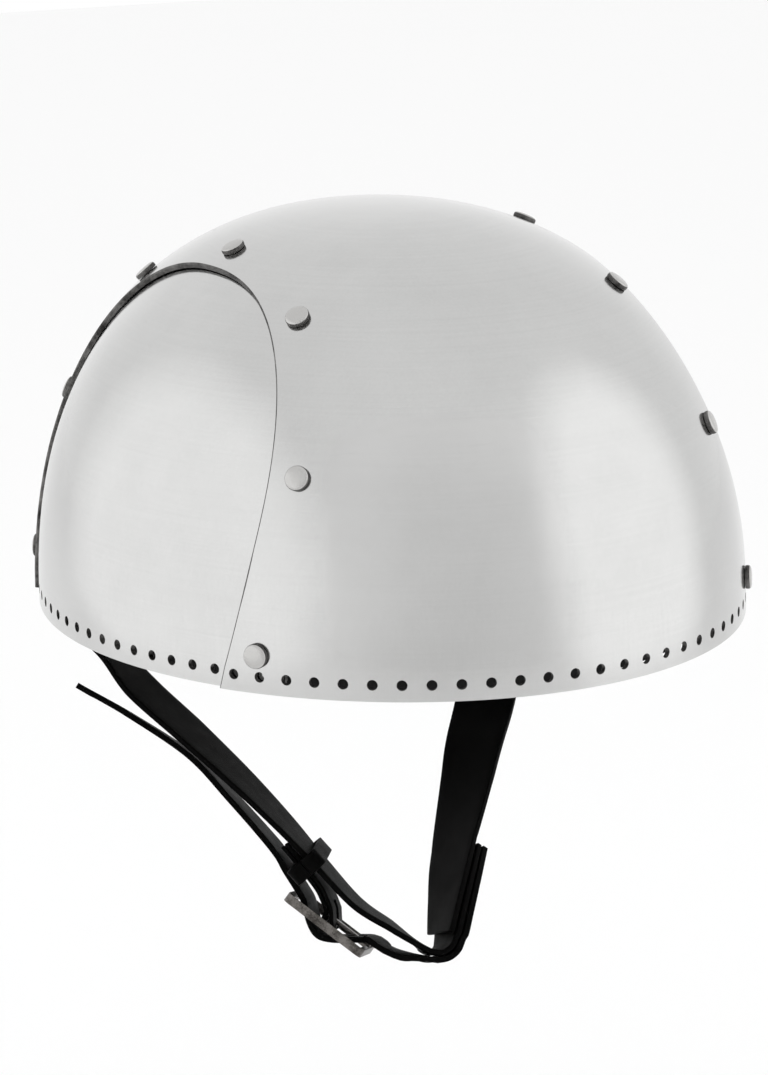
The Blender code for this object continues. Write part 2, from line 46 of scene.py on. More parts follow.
PLATE = 0.0016
GAP = 0.0003
SEAM_GAP = 0.0004
HALF_LENGTH = LENGTH / 2
HALF_WIDTH = WIDTH / 2
INNER_SKIN = PLATE + SEAM_GAP + PLATE

# Arched openings
ARCH_FORWARD = 0.0030
ARCH_HALF_WIDTH = 0.0694
BAND_TOP = 0.11257
ARCH_HEIGHT = HEIGHT * (1 - (BAND_TOP / WIDTH) ** ROUND_OUT) ** (1 / ROUND_UP)
ARCH_SPRING = 0.0397
ARCH_FOOT_IN = 0.0062
ARCH_ROUND = 2.2
OVERLAP = 0.0185
CUT = 0.0100

# Edges, and the side plates' slightly fuller form, which only the shine shows
EDGE_ROUND = 0.00028
EDGE_CHAMFER = 0.00045
PLATE_FULLNESS = 1.10
SKIN_FACING = 0.97

# Rim holes and rivets
HOLE = 0.0030
HOLE_HEIGHT = 0.0047
HOLE_MARGIN = 0.0035
FRONT_HOLES = 26
SIDE_HOLES = 17
REAR_HOLES = 28
RIVETS = 7
RIVET_MARGIN = 0.0090
RIVET_FOOT = 0.0107
RIVET_HEAD = 0.0070
RIVET_RISE = 0.0020
RIVET_SHANK = 0.0030
RIVET_END = 0.0052
RIVET_END_RISE = 0.0009
RIVET_SEAT = GAP * 0.3
RIVET_LIP = GAP * 1.5
# Rivet faces leaning less than this towards the head's axis take the dark edge steel: painted shade
# round the side
RIVET_SIDE = 0.45
RIVET_SPIN = 1.3

# A rivet's form: shares of a radius, outwards, and of a rise
Ring = namedtuple("Ring", "out up")
CLENCHED_END = (Ring(0.55, 1), Ring(0.85, 0.75), Ring(1, 0.3), Ring(0.97, 0))
LOW_HEAD = (Ring(1, 0.50), Ring(0.965, 0.70), Ring(0.88, 0.84), Ring(0.70, 0.93), Ring(0.35, 0.98))
HEAD_UNDERSIDE = 0.97

# Strap and buckle
STRAP_WIDTH = 0.0200
STRAP = 0.0018
STRAP_DROP = 0.1160
STRAP_TAB = 0.0090
STRAP_JOIN = 0.0280
STRAP_EASE = 0.0004
STRAP_HOLLOW = STRAP_WIDTH**2 / 8 / HALF_WIDTH + STRAP_EASE
STRAP_STEP = 0.0012
STRAP_ROUND = 0.0004
BUCKLE_LENGTH = 0.0294
BUCKLE_WIDTH = 0.0280
BUCKLE_BAR = 0.0019
BUCKLE_CORNER = 1.25 * BUCKLE_BAR
BUCKLE_ROUND = 0.0008
MIDDLE_BAR = 0.98 * BUCKLE_BAR
THIN_ROUND = 0.0003
BUCKLE_HEADING = -32.0
BUCKLE_RISE = 16.0
CHAPE = 0.0012
CHAPE_SLOT = 0.0048
CHAPE_ARC = (40, -200)
PRONG_WIDTH = 0.0030
PRONG = 0.0010
PRONG_ARC = (380, 90)
PRONG_ROWS = (0.1, 0.2, 0.4, 0.6, 0.8, 0.9, 0.97, 1.0)
PRONG_TAPER_FROM = 0.7
PRONG_TAPER = 1.1
KEEPER_LENGTH = 0.0055
KEEPER_WALL = 0.0014
KEEPER_ROOM = 0.0027
KEEPER_CORNER = 0.0018
KEEPER_SLIT = 0.02

# How finely things are drawn
DOME_SEGMENTS = 192
DOME_RINGS = 104
ARCH_STEPS = 120
LEG_STEPS = 6
FOOT_STEPS = 10
RIM_STEPS = 200
HALVINGS = 40
HOLE_SIDES = 24
RIVET_SIDES = 36
BAR_SIDES = 32
STRAP_COLUMNS = 9
FOLD_STEPS = 26
CURL_STEPS = 36
CORNER_STEPS = 6
SHADE_BAND_STEPS = 96
HAIR = 1e-9

# Centre lines of the straps under the helmet. side is in half widths, back in half lengths and drop in
# STRAP_DROPs; heading and rise turn the strap's width, in degrees from straight ahead and from level.
Station = namedtuple("Station", "side back drop heading rise")
RIGHT_ROUTE = (
    Station(-0.739, 0.518, 0.085, -33, 0),
    Station(-0.658, 0.447, 0.178, -38, 0),
    Station(-0.600, 0.378, 0.274, -43, 0),
    Station(-0.497, 0.275, 0.387, -44, 3),
    Station(-0.389, 0.173, 0.509, -43, 8),
    Station(-0.298, 0.087, 0.622, -40, 12),
    Station(-0.227, 0.026, 0.717, -36, 15),
    Station(-0.140, -0.040, 0.830, -33, 15),
    Station(-0.048, -0.090, 0.900, -29, 16),
    Station(0.023, -0.124, 0.955, -22, 19),
)
LEFT_ROUTE = (
    Station(0.762, 0.525, 0.121, 33, 0),
    Station(0.660, 0.432, 0.310, 39, 0),
    Station(0.522, 0.300, 0.457, 40, 0),
    Station(0.418, 0.197, 0.532, 34, 6),
    Station(0.339, 0.115, 0.604, 26, 12),
    Station(0.213, -0.008, 0.736, 11, 18),
    Station(0.152, -0.070, 0.809, 5, 18),
    Station(0.114, -0.104, 0.877, -2, 18),
    Station(0.090, -0.124, 0.931, -8, 18),
)
TAIL_ROUTE = (
    Station(-0.414, 0.196, 0.556, -30, 15),
    Station(-0.498, 0.276, 0.454, -27, 17),
    Station(-0.627, 0.400, 0.357, -24, 17),
    Station(-0.726, 0.494, 0.296, -22, 17),
)
# The right strap turns up behind the left one, and the long strap turns from there to the buckle.
RIGHT_TURN = (
    Station(0.039, -0.132, 0.967, -19, 20),
    Station(0.066, -0.139, 0.975, -16, 21),
    Station(0.090, -0.139, 0.966, -13, 21),
    Station(0.101, -0.135, 0.953, -11, 20),
)
LONG_TURN = (
    Station(0.121, -0.140, 0.958, -11, 20),
    Station(0.108, -0.146, 0.975, -12, 21),
    Station(0.089, -0.148, 0.987, -14, 21),
    Station(0.067, -0.147, 0.992, -16, 21),
    Station(0.044, -0.143, 0.990, -18, 21),
    Station(0.024, -0.138, 0.984, -20, 20),
    Station(-0.044, -0.119, 0.966, -27, 17),
    Station(-0.087, -0.107, 0.945, -30, 16),
)
BUCKLE_PLACE = Station(-0.206, -0.003, 0.890, BUCKLE_HEADING, BUCKLE_RISE)
BUCKLE_FAR_END = Station(-0.127, -0.079, 0.960, BUCKLE_HEADING, BUCKLE_RISE)

# Routes near the buckle, in BUCKLE_LENGTHs: along the frame towards the left strap, out of its plane
# towards the wearer, and aside along its bars.
Bend = namedtuple("Bend", "along out aside")
WEAVE = (
    Bend(0.460, 0.134, 0),
    Bend(0.330, 0.050, 0),
    Bend(0.150, -0.086, 0),
    Bend(0.000, -0.143, 0),
    Bend(-0.150, -0.086, 0),
    Bend(-0.330, 0.055, 0),
    Bend(-0.460, 0.112, 0),
    Bend(-0.660, 0.186, 0),
    Bend(-0.930, 0.290, 0),
)
CHAPE_ROUTE = (
    Bend(-0.830, 0.415, 0.150),
    Bend(-0.620, 0.368, 0.133),
    Bend(-0.420, 0.315, 0.114),
    Bend(-0.260, 0.262, 0.080),
    Bend(-0.140, 0.190, 0.030),
    Bend(-0.062, 0.135, 0.000),
)
KEEPER_PLACE = Bend(-0.560, 0.355, 0.127)

# Studio: angles round the helmet in degrees, 0 ahead of it and rising towards the wearer's left
STUDIO_CENTRE = Vector((0, 0, 0.04))
FLOOR = -0.32
FLOOR_SIZE = (9, 9)
FLOOR_BACK = 1.0
Sheet = namedtuple("Sheet", "azimuth elevation distance size")
CARD = Sheet(-18, 12, 1.45, (2.5, 2.6))
LEFT_BOX = Sheet(-106, 2, 1.2, (3.3, 2.3))
RIGHT_BOX = Sheet(52, 6, 1.2, (1.9, 2.8))
LEFT_GLOW = 1.30
RIGHT_GLOW = 1.38
SOFT_RIM = 0.45
# The dark band inside the rim, painted shade seen through the rim holes: how far in it stands and how
# high
SHADE_BAND_DEPTH = 0.0100
SHADE_BAND_HEIGHT = 0.0090

# Camera: where it stands, what it looks at, and its lens in millimetres
EYE = Vector((-0.4470, -0.8575, 0.2594))
AIM = Vector((0, 0, 0.0047))
LENS = 109.94
FILM_WIDTH = 36
LENS_SHIFT = (-0.0006, 0.0365)
CAMERA_ROLL = -1.11
FARTHEST = 30


# Dome

def outward(point):
    """The dome's normal through a point."""
    across = math.hypot(point.x / HALF_WIDTH, point.y / HALF_LENGTH)
    level = ROUND_OUT * across ** (ROUND_OUT - 2)
    upright = ROUND_UP * (max(point.z, 0) / HEIGHT) ** (ROUND_UP - 1) / HEIGHT
    slope = Vector((level * point.x / HALF_WIDTH**2, level * point.y / HALF_LENGTH**2, upright))
    return slope.normalized()


def dome_point(turn, height, depth=0.0):
    """A point of the dome: turn is 0 at the front and rises towards the wearer's left."""
    out = max(0, 1 - (max(height, 0) / HEIGHT) ** ROUND_UP) ** (1 / ROUND_OUT)
    point = Vector((HALF_WIDTH * out * math.sin(turn), -HALF_LENGTH * out * math.cos(turn), height))
    return point - depth * outward(point)


def on_dome(point):
    """The point moved on to the dome, straight out from the middle of the rim."""
    across = Vector((point.x / HALF_WIDTH, point.y / HALF_LENGTH)).length
    if point.z <= 0:
        return Vector((point.x / across, point.y / across, point.z))
    low, high = 0.5, 2.0
    for _ in range(HALVINGS):
        scale = (low + high) / 2
        inside = (across * scale) ** ROUND_OUT + (point.z * scale / HEIGHT) ** ROUND_UP < 1
        low, high = (scale, high) if inside else (low, scale)
    return point * low


def last_within(run, goal):
    """The stretch of a path that a length along it falls in, from the lengths to its points."""
    return min(max(k for k, length in enumerate(run) if length <= goal + HAIR), len(run) - 2)


def rim_turns(start, end, holes):
    """Turns of evenly spaced holes along the rim, the first at start and the last at end."""
    turns = [start + (end - start) * i / RIM_STEPS for i in range(RIM_STEPS + 1)]
    run = [0.0]
    for a, b in zip(turns, turns[1:]):
        run.append(run[-1] + (dome_point(b, HOLE_HEIGHT) - dome_point(a, HOLE_HEIGHT)).length)
    found = []
    for i in range(holes):
        goal = run[-1] * i / (holes - 1)
        j = last_within(run, goal)
        share = (goal - run[j]) / (run[j + 1] - run[j])
        found.append(turns[j] + share * (turns[j + 1] - turns[j]))
    return found


# Arch

def arch_half_width(height):
    """Half the opening's width at a height under its widest place."""
    return ARCH_HALF_WIDTH - ARCH_FOOT_IN * ((ARCH_SPRING - height) / ARCH_SPRING) ** 2


def arch_curve(side, grow=0.0):
    """Points on the dome up the arch's front leg, over and down its rear one, grown outwards."""
    flat = []
    for i in range(LEG_STEPS):
        height = (ARCH_SPRING + CUT) * i / LEG_STEPS - CUT
        flat.append((-arch_half_width(max(height, 0)), height))
    rear = [(-along, height) for along, height in reversed(flat)]
    for i in range(ARCH_STEPS + 1):
        angle = math.pi * (1 - i / ARCH_STEPS)
        across = abs(math.cos(angle)) ** (2 / ARCH_ROUND)
        along = math.copysign(across, math.cos(angle)) * ARCH_HALF_WIDTH
        height = ARCH_SPRING + (ARCH_HEIGHT - ARCH_SPRING) * abs(math.sin(angle)) ** (2 / ARCH_ROUND)
        flat.append((along, height))
    points = []
    for along, height in flat + rear:
        y = along - ARCH_FORWARD
        out = (1 - (max(height, 0) / HEIGHT) ** ROUND_UP) ** (1 / ROUND_OUT)
        x = HALF_WIDTH * math.sqrt(out**2 - (y / HALF_LENGTH) ** 2)
        points.append(Vector((side * x, y, height)))
    if not grow:
        return points
    grown = []
    for i, point in enumerate(points):
        along = points[min(i + 1, len(points) - 1)] - points[max(i - 1, 0)]
        away = side * along.cross(outward(point)).normalized()
        grown.append(on_dome(point - grow * away))
    return grown


def cut_at(points, foot):
    """The part of a curve over a height, with its two ends at that height."""
    kept = []
    for a, b in zip(points, points[1:]):
        if (a.z < foot) != (b.z < foot):
            kept.append(a.lerp(b, (foot - a.z) / (b.z - a.z)))
        if b.z >= foot:
            kept.append(b)
    return kept


def evenly(points, count):
    """Evenly spaced points along a curve, both ends included."""
    run = [0.0]
    for a, b in zip(points, points[1:]):
        run.append(run[-1] + (b - a).length)
    found = []
    for i in range(count):
        goal = run[-1] * i / (count - 1)
        j = last_within(run, goal)
        found.append(points[j].lerp(points[j + 1], (goal - run[j]) / (run[j + 1] - run[j])))
    return found


def rivet_places(side):
    """Seven places on the dome round one arch, from the front foot to the rear one."""
    curve = cut_at(arch_curve(side, RIVET_MARGIN), RIVET_FOOT)
    return [on_dome(point) for point in evenly(curve, RIVETS)]


def leg_turn(side, sign, margin):
    """Turn of an arch leg at the rim holes' height, moved by a margin along the rim."""
    along = ARCH_FORWARD + sign * arch_half_width(HOLE_HEIGHT)
    turn = math.acos(along / HALF_LENGTH)
    return side * (turn + margin / HALF_WIDTH)


# Making

def pick(thing):
    """Selects one object alone and makes it active."""
    bpy.ops.object.select_all(action="DESELECT")
    thing.select_set(True)
    bpy.context.view_layer.objects.active = thing


def made(name):
    """Names the object that an operator has just added."""
    thing = bpy.context.object
    thing.name = name
    thing.data.name = name
    return thing


def work(thing, kind, **settings):
    """Adds a modifier with its settings and applies it."""
    pick(thing)
    modifier = thing.modifiers.new(kind.lower(), kind)
    for name, value in settings.items():
        setattr(modifier, name, value)
    bpy.ops.object.modifier_apply(modifier=modifier.name)


def bevel(thing, width, segments, angle):
    """Rounds the edges sharper than an angle in degrees."""
    limit = math.radians(angle)
    work(thing, "BEVEL", width=width, segments=segments, limit_method="ANGLE", angle_limit=limit)


def cut(thing, tool, operation="DIFFERENCE"):
    """Cuts one object with another, which is then thrown away."""
    work(thing, "BOOLEAN", operation=operation, object=tool, solver="EXACT")
    bpy.data.objects.remove(tool, do_unlink=True)


def tidy_normals(thing):
    """Merges doubled points and turns every face outwards."""
    pick(thing)
    bpy.ops.object.mode_set(mode="EDIT")
    bpy.ops.mesh.select_all(action="SELECT")
    bpy.ops.mesh.remove_doubles(threshold=1e-6)
    bpy.ops.mesh.normals_make_consistent(inside=False)
    bpy.ops.object.mode_set(mode="OBJECT")


def smooth_shade(thing, angle):
    """Shades a piece smoothly, apart from its edges sharper than an angle in degrees."""
    pick(thing)
    bpy.ops.object.shade_smooth_by_angle(angle=math.radians(angle))


def finish_piece(thing, paints, slot, *nodes):
    """Gives a piece its materials and its place in the frame."""
    for paint in paints:
        thing.data.materials.append(paint)
    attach(thing, "root")
    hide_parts(*nodes)
    return thing


def copies(thing, places):
    """One object made of a mesh repeated at each place."""
    made_here = []
    for place in places:
        twin = thing.copy()
        twin.data = thing.data.copy()
        twin.data.transform(place)
        bpy.context.collection.objects.link(twin)
        made_here.append(twin)
    bpy.data.objects.remove(thing, do_unlink=True)
    bpy.ops.object.select_all(action="DESELECT")
    for twin in made_here:
        twin.select_set(True)
    bpy.context.view_layer.objects.active = made_here[0]
    bpy.ops.object.join()
    return bpy.context.object


def square_to_dome(point, spin=0.0):
    """The placing that sets a mesh's Z along the dome's normal at a point."""
    turn = outward(point).to_track_quat("Z", "Y").to_matrix().to_4x4()
    return Matrix.Translation(point) @ turn @ Matrix.Rotation(spin, 4, "Z")


# Plates

def dome_plate(name, depth):
    """A whole dome of one plate: half a sphere drawn out to the helmet's form, with its thickness."""
    bpy.ops.object.select_all(action="DESELECT")
    bpy.ops.mesh.primitive_uv_sphere_add(segments=DOME_SEGMENTS, ring_count=DOME_RINGS, radius=1)
    plate = made(name)
    bpy.ops.object.mode_set(mode="EDIT")
    bpy.ops.mesh.select_all(action="SELECT")
    bpy.ops.mesh.bisect(plane_co=(0, 0, 0), plane_no=(0, 0, 1), clear_inner=True)
    bpy.ops.object.mode_set(mode="OBJECT")
    for vertex in plate.data.vertices:
        turn = math.atan2(vertex.co.x, -vertex.co.y)
        height = HEIGHT * max(0, min(1, vertex.co.z)) ** (2 / ROUND_UP)
        vertex.co = dome_point(turn, height, depth)
    work(plate, "SOLIDIFY", thickness=PLATE, offset=-1, use_even_offset=True)
    return plate


def plug_loop(side, grow):
    """An arch's outline, closed under the rim."""
    curve = arch_curve(side, grow)
    return curve + [on_dome(curve[-1].lerp(curve[0], i / FOOT_STEPS)) for i in range(1, FOOT_STEPS)]


def arch_plug(side, grow, chamfer):
    """A plug that fills an arch's opening; over the chamfer's depth it widens as it goes out."""
    loop = plug_loop(side, grow)
    wide = plug_loop(side, grow + chamfer + CUT) if chamfer else loop
    count = len(loop)
    bpy.ops.object.select_all(action="DESELECT")
    bpy.ops.mesh.primitive_cylinder_add(vertices=count, radius=1, depth=2, end_fill_type="TRIFAN")
    plug = made("arch_plug")
    bpy.ops.object.mode_set(mode="EDIT")
    bpy.ops.mesh.select_all(action="SELECT")
    bpy.ops.mesh.bisect(plane_co=(0, 0, 0), plane_no=(0, 0, 1))
    bpy.ops.object.mode_set(mode="OBJECT")
    middle = Vector((side * HALF_WIDTH, -ARCH_FORWARD, ARCH_SPRING))
    for vertex in plug.data.vertices:
        level = round(vertex.co.z)
        if math.hypot(vertex.co.x, vertex.co.y) < 0.5:
            # The middles of the two caps lie well inside and outside the shell.
            vertex.co = middle + Vector((side * (-4, 0, 3)[level + 1] * CUT, 0, 0))
            continue
        number = round(math.atan2(vertex.co.y, vertex.co.x) / (2 * math.pi) * count) % count
        point = (wide if level > 0 else loop)[number]
        vertex.co = point + (-CUT, -chamfer, CUT)[level + 1] * outward(point)
    tidy_normals(plug)
    return plug


def drill(places, radius):
    """Pegs through the wall at some places on the dome."""
    bpy.ops.object.select_all(action="DESELECT")
    bpy.ops.mesh.primitive_cylinder_add(vertices=HOLE_SIDES, radius=radius, depth=2 * CUT)
    return copies(made("drill"), [square_to_dome(point) for point in places])


def polish(plate, normal_at):
    """Gives a plate's skins even normals, free of facets, and its cut edges the second finish, which is
    painted shade.
    """
    mesh = plate.data
    mesh.shade_smooth()
    normals = []
    for polygon in mesh.polygons:
        facing = polygon.normal.dot(outward(polygon.center))
        # Faces that are not skin take the dark edge steel: painted shade on cut edges and hole walls.
        polygon.material_index = int(abs(facing) < SKIN_FACING)
        for index in polygon.loop_indices:
            if polygon.material_index:
                normals.append(polygon.normal.copy())
            else:
                point = mesh.vertices[mesh.loops[index].vertex_index].co
                normals.append(normal_at(point) * math.copysign(1, facing))
    mesh.normals_split_custom_set(normals)


def fuller(point):
    """A side plate's normals: it is raised a little fuller than the band."""
    normal = outward(point)
    return Vector((normal.x * PLATE_FULLNESS, normal.y, normal.z)).normalized()


def soften(plate):
    """Takes the sharpness off the cut edges."""
    bevel(plate, EDGE_ROUND, 2, 50)


def crown_band(steels):
    """The broad band from front to back, cut out in an arch on each side and drilled along its rim."""
    band = dome_plate("crown_band_polished", 0.0)
    for side in (-1, 1):
        cut(band, arch_plug(side, 0.0, EDGE_CHAMFER))
    front = leg_turn(1, 1, -HOLE_MARGIN)
    rear = leg_turn(1, -1, HOLE_MARGIN)
    turns = rim_turns(-front, front, FRONT_HOLES) + rim_turns(rear, 2 * math.pi - rear, REAR_HOLES)
    cut(band, drill([dome_point(turn, HOLE_HEIGHT) for turn in turns], HOLE / 2))
    soften(band)
    polish(band, outward)
    finish_piece(band, steels, "polished_steel", "crown_band")


def side_plate(word, side, steels):
    """The plate that fills an arch from inside, with its overlap under the band."""
    plate = dome_plate(f"side_plate_{word}_polished", PLATE + SEAM_GAP)
    cut(plate, arch_plug(side, OVERLAP, 0.0), "INTERSECT")
    ends = leg_turn(side, 1, HOLE_MARGIN), leg_turn(side, -1, -HOLE_MARGIN)
    turns = rim_turns(*ends, SIDE_HOLES)
    cut(plate, drill([dome_point(turn, HOLE_HEIGHT) for turn in turns], HOLE / 2))
    soften(plate)
    polish(plate, fuller)
    finish_piece(plate, steels, "plate_steel", f"side_plate_{word}")


# Rivets

def turned(name, profile):
    """A round solid: a disc drawn out along a profile of radius and height."""
    bpy.ops.object.select_all(action="DESELECT")
    radius, level = profile[0]
    bpy.ops.mesh.primitive_circle_add(
        vertices=RIVET_SIDES, radius=radius, fill_type="NGON", location=(0, 0, level)
    )
    thing = made(name)
    bpy.ops.object.transform_apply(location=True, rotation=True, scale=True)
    bpy.ops.object.mode_set(mode="EDIT")
    bpy.ops.mesh.select_all(action="SELECT")
    for (radius, level), (following, higher) in zip(profile, profile[1:]):
        bpy.ops.mesh.extrude_region_move(TRANSFORM_OT_translate={"value": (0, 0, higher - level)})
        share = following / radius
        bpy.ops.transform.resize(value=(share, share, 1), center_override=(0, 0, higher))
    bpy.ops.mesh.select_all(action="SELECT")
    bpy.ops.mesh.normals_make_consistent(inside=False)
    bpy.ops.object.mode_set(mode="OBJECT")
    return thing


def rivet(word, number, point, depth, steels):
    """A rivet with a low hammered head, painted darker round its side as shade, and a clenched end."""
    head, shank, end = RIVET_HEAD / 2, RIVET_SHANK / 2, RIVET_END / 2
    profile = [(end * ring.out, -depth - RIVET_END_RISE * ring.up) for ring in CLENCHED_END]
    profile += [(shank, -depth), (shank, RIVET_SEAT)]
    profile += [(head * HEAD_UNDERSIDE, RIVET_SEAT), (head, RIVET_LIP)]
    profile += [(head * ring.out, RIVET_RISE * ring.up) for ring in LOW_HEAD]
    thing = turned(f"rivet_{word}_{number}_head", profile)
    smooth_shade(thing, 50)
    # The side, underside and clenched end take the dark edge steel: painted shade round the head.
    for polygon in thing.data.polygons:
        polygon.material_index = int(polygon.normal.z < RIVET_SIDE)
    thing.data.transform(square_to_dome(point, number * RIVET_SPIN))
    finish_piece(thing, steels, "rivet_steel", f"rivet_{word}_{number}")


# Leather

def way_towards(heading, rise):
    """The way that a heading and a rise in degrees point; heading 0 is straight ahead."""
    heading, rise = math.radians(heading), math.radians(rise)
    level = Vector((math.sin(heading), -math.cos(heading), 0))
    return math.cos(rise) * level + Vector((0, 0, math.sin(rise)))


def placed(station):
    """A station's point and width, in metres."""
    point = Vector((station.side * HALF_WIDTH, station.back * HALF_LENGTH, -station.drop * STRAP_DROP))
    return point, way_towards(station.heading, station.rise)


def smooth(rows, step=STRAP_STEP):
    """Rows of point and width read from a smooth curve through the given ones, about a step apart."""
    found = []
    for i in range(len(rows) - 1):
        near = [rows[max(i - 1, 0)], rows[i], rows[i + 1], rows[min(i + 2, len(rows) - 1)]]
        count = max(1, round((rows[i + 1][0] - rows[i][0]).length / step))
        for k in range(count):
            t = k / count
            blend = (
                (-t + 2 * t**2 - t**3) / 2,
                (2 - 5 * t**2 + 3 * t**3) / 2,
                (t + 4 * t**2 - 3 * t**3) / 2,
                (-(t**2) + t**3) / 2,
            )
            point = sum((share * row[0] for share, row in zip(blend, near)), Vector())
            found.append((point, rows[i][1].lerp(rows[i + 1][1], t)))
    return found + [rows[-1]]


def frames(rows):
    """Point, width and face normal at each row; the normal is width cross the way along."""
    found = []
    for i, (point, width) in enumerate(rows):
        along = (rows[min(i + 1, len(rows) - 1)][0] - rows[max(i - 1, 0)][0]).normalized()
        width = (width - width.dot(along) * along).normalized()
        found.append((point, width, width.cross(along)))
    return found


def shifted(framed, distance):
    """The rows moved off the strap's face, along its normal."""
    return [(point + distance * normal, width, normal) for point, width, normal in framed]


def backwards(framed):
    """The same rows, run the other way."""
    return [(point, width, -normal) for point, width, normal in framed[::-1]]


def last_stretch(framed, length):
    """The rows of the last stretch of a strap."""
    run = 0.0
    for i in range(len(framed) - 1, 0, -1):
        run += (framed[i][0] - framed[i - 1][0]).length
        if run >= length:
            return framed[i - 1:]
    return framed


def wall_rows(side):
    """A strap's end, flat on the inner wall behind the rear rivet."""
    foot = rivet_places(side)[-1]
    turn = math.atan2(foot.x / HALF_WIDTH, -foot.y / HALF_LENGTH)
    depth = INNER_SKIN + GAP + STRAP_HOLLOW + STRAP / 2
    rows = []
    for height in (RIVET_FOOT + STRAP_TAB, RIVET_FOOT, RIVET_FOOT / 4):
        point = dome_point(turn, height, depth)
        normal = outward(point)
        rows.append((point, -side * Vector((0, 0, 1)).cross(normal)))
    return rows


def buckle_axes():
    """Centre of the buckle, its long way, its width and the way out towards the wearer."""
    centre, width = placed(BUCKLE_PLACE)
    along = (placed(BUCKLE_FAR_END)[0] - centre).normalized()
    width = (width - width.dot(along) * along).normalized()
    return centre, along, width, width.cross(along)


def bends(table):
    """Rows of a route near the buckle."""
    centre, along, width, out = buckle_axes()
    rows = []
    for bend in table:
        away = bend.along * along + bend.out * out + bend.aside * width
        rows.append((centre + BUCKLE_LENGTH * away, width))
    return rows


def curl(radius, arc, steps):
    """Rows of an arc round the buckle's bar, by the angle from its long way towards the wearer."""
    centre, along, width, out = buckle_axes()
    start, end = arc
    found = []
    for i in range(steps + 1):
        angle = math.radians(start + (end - start) * i / steps)
        away = math.cos(angle) * along + math.sin(angle) * out
        found.append((centre + radius * away, width, away))
    return found


def leather_strip(name, framed, thickness, width=STRAP_WIDTH, taper=None, round_off=STRAP_ROUND):
    """A strap drawn from a grid along its rows, with its thickness and softened edges."""
    columns, rows = STRAP_COLUMNS - 1, len(framed) - 1
    bpy.ops.object.select_all(action="DESELECT")
    bpy.ops.mesh.primitive_grid_add(x_subdivisions=columns, y_subdivisions=rows, size=1)
    strap = made(name)
    run = [0.0]
    for (a, _, _), (b, _, _) in zip(framed, framed[1:]):
        run.append(run[-1] + (b - a).length)
    places = {}
    for vertex in strap.data.vertices:
        column = round((vertex.co.x + 0.5) * columns)
        row = round((vertex.co.y + 0.5) * rows)
        places[vertex.index] = (column, row)
        point, across, normal = framed[row]
        wide = width * (taper(run[row] / run[-1]) if taper else 1)
        vertex.co = point + across * wide * (column / columns - 0.5)
    layer = strap.data.uv_layers.active.data
    for loop in strap.data.loops:
        column, row = places[loop.vertex_index]
        layer[loop.index].uv = (column / columns, run[row] / STRAP_WIDTH)
    face_way = framed[len(framed) // 2][2]
    if sum(polygon.normal.dot(face_way) for polygon in strap.data.polygons) < 0:
        strap.data.flip_normals()
    work(strap, "SOLIDIFY", thickness=thickness, offset=0, material_offset=1, material_offset_rim=2)
    bevel(strap, round_off, 3, 60)
    smooth_shade(strap, 60)
    return strap


def box_tool(centre, axes, sizes):
    """A box with its sides along three axes, for cutting."""
    bpy.ops.object.select_all(action="DESELECT")
    bpy.ops.mesh.primitive_cube_add(size=1)
    tool = made("box_tool")
    place = Matrix((axes[0] * sizes[0], axes[1] * sizes[1], axes[2] * sizes[2])).transposed().to_4x4()
    place.translation = centre
    tool.data.transform(place)
    tidy_normals(tool)
    return tool


def rivet_hole(side):
    """A peg for the hole by which a strap hangs on its rear rivet."""
    return drill([rivet_places(side)[-1]], RIVET_SHANK / 2 + GAP)


def prong_slot():
    """A box for the slot in the long strap that the prong passes through."""
    centre, along, width, out = buckle_axes()
    start, end = BUCKLE_LENGTH * WEAVE[1].along - 3 * PRONG, BUCKLE_LENGTH / 2 - BUCKLE_BAR / 2
    middle = centre + (start + end) / 2 * along + (BUCKLE_BAR / 2 + PRONG) * out
    return box_tool(middle, (along, width, out), (end - start, PRONG_WIDTH + 4 * GAP, 4 * PRONG))


def chin_straps(leather):
    """The two straps that hang from the rear rivets and the long one that runs through the buckle."""
    left = frames(smooth(wall_rows(1) + [placed(station) for station in LEFT_ROUTE]))
    seam = last_stretch(left, STRAP_JOIN)
    layer = STRAP + 2 * GAP

    sewn = backwards(shifted(seam, layer))
    rows = smooth(wall_rows(-1) + [placed(station) for station in RIGHT_ROUTE + RIGHT_TURN])
    right = frames(rows + [row[:2] for row in sewn])[:len(rows)] + sewn

    sewn = shifted(seam, 2 * layer)
    turn = [placed(station) for station in LONG_TURN]
    tail = [placed(station) for station in TAIL_ROUTE]
    rows = [row[:2] for row in sewn] + smooth(turn + bends(WEAVE) + tail)
    long = sewn + frames(rows)[len(sewn):]

    for name, framed, node, hole in (
        ("left_strap_leather", left, "chin_strap_left", rivet_hole(1)),
        ("right_strap_leather", right, "chin_strap_right", rivet_hole(-1)),
        ("long_strap_leather", long, "chin_strap_long", prong_slot()),
    ):
        strap = leather_strip(name, framed, STRAP)
        cut(strap, hole)
        smooth_shade(strap, 60)
        finish_piece(strap, leather, "black_leather", node)
    return right


def buckle_leather(leather):
    """Leather folded round the buckle's bar, both legs running up together to the right strap."""
    centre, along, width, out = buckle_axes()
    legs = [(point, width, normal) for point, _, normal in frames(smooth(bends(CHAPE_ROUTE)))]
    apart = (CHAPE + GAP) / 2
    fold = curl(BUCKLE_BAR / 2 + GAP + CHAPE / 2, CHAPE_ARC, FOLD_STEPS)
    framed = shifted(legs, apart) + fold + backwards(shifted(legs, -apart))
    chape = leather_strip("buckle_leather", framed, CHAPE, round_off=THIN_ROUND)
    slot_size = (5 * BUCKLE_BAR, CHAPE_SLOT, 5 * BUCKLE_BAR)
    cut(chape, box_tool(centre + BUCKLE_BAR * out, (along, width, out), slot_size))
    smooth_shade(chape, 60)
    finish_piece(chape, leather, "black_leather", "buckle_chape")


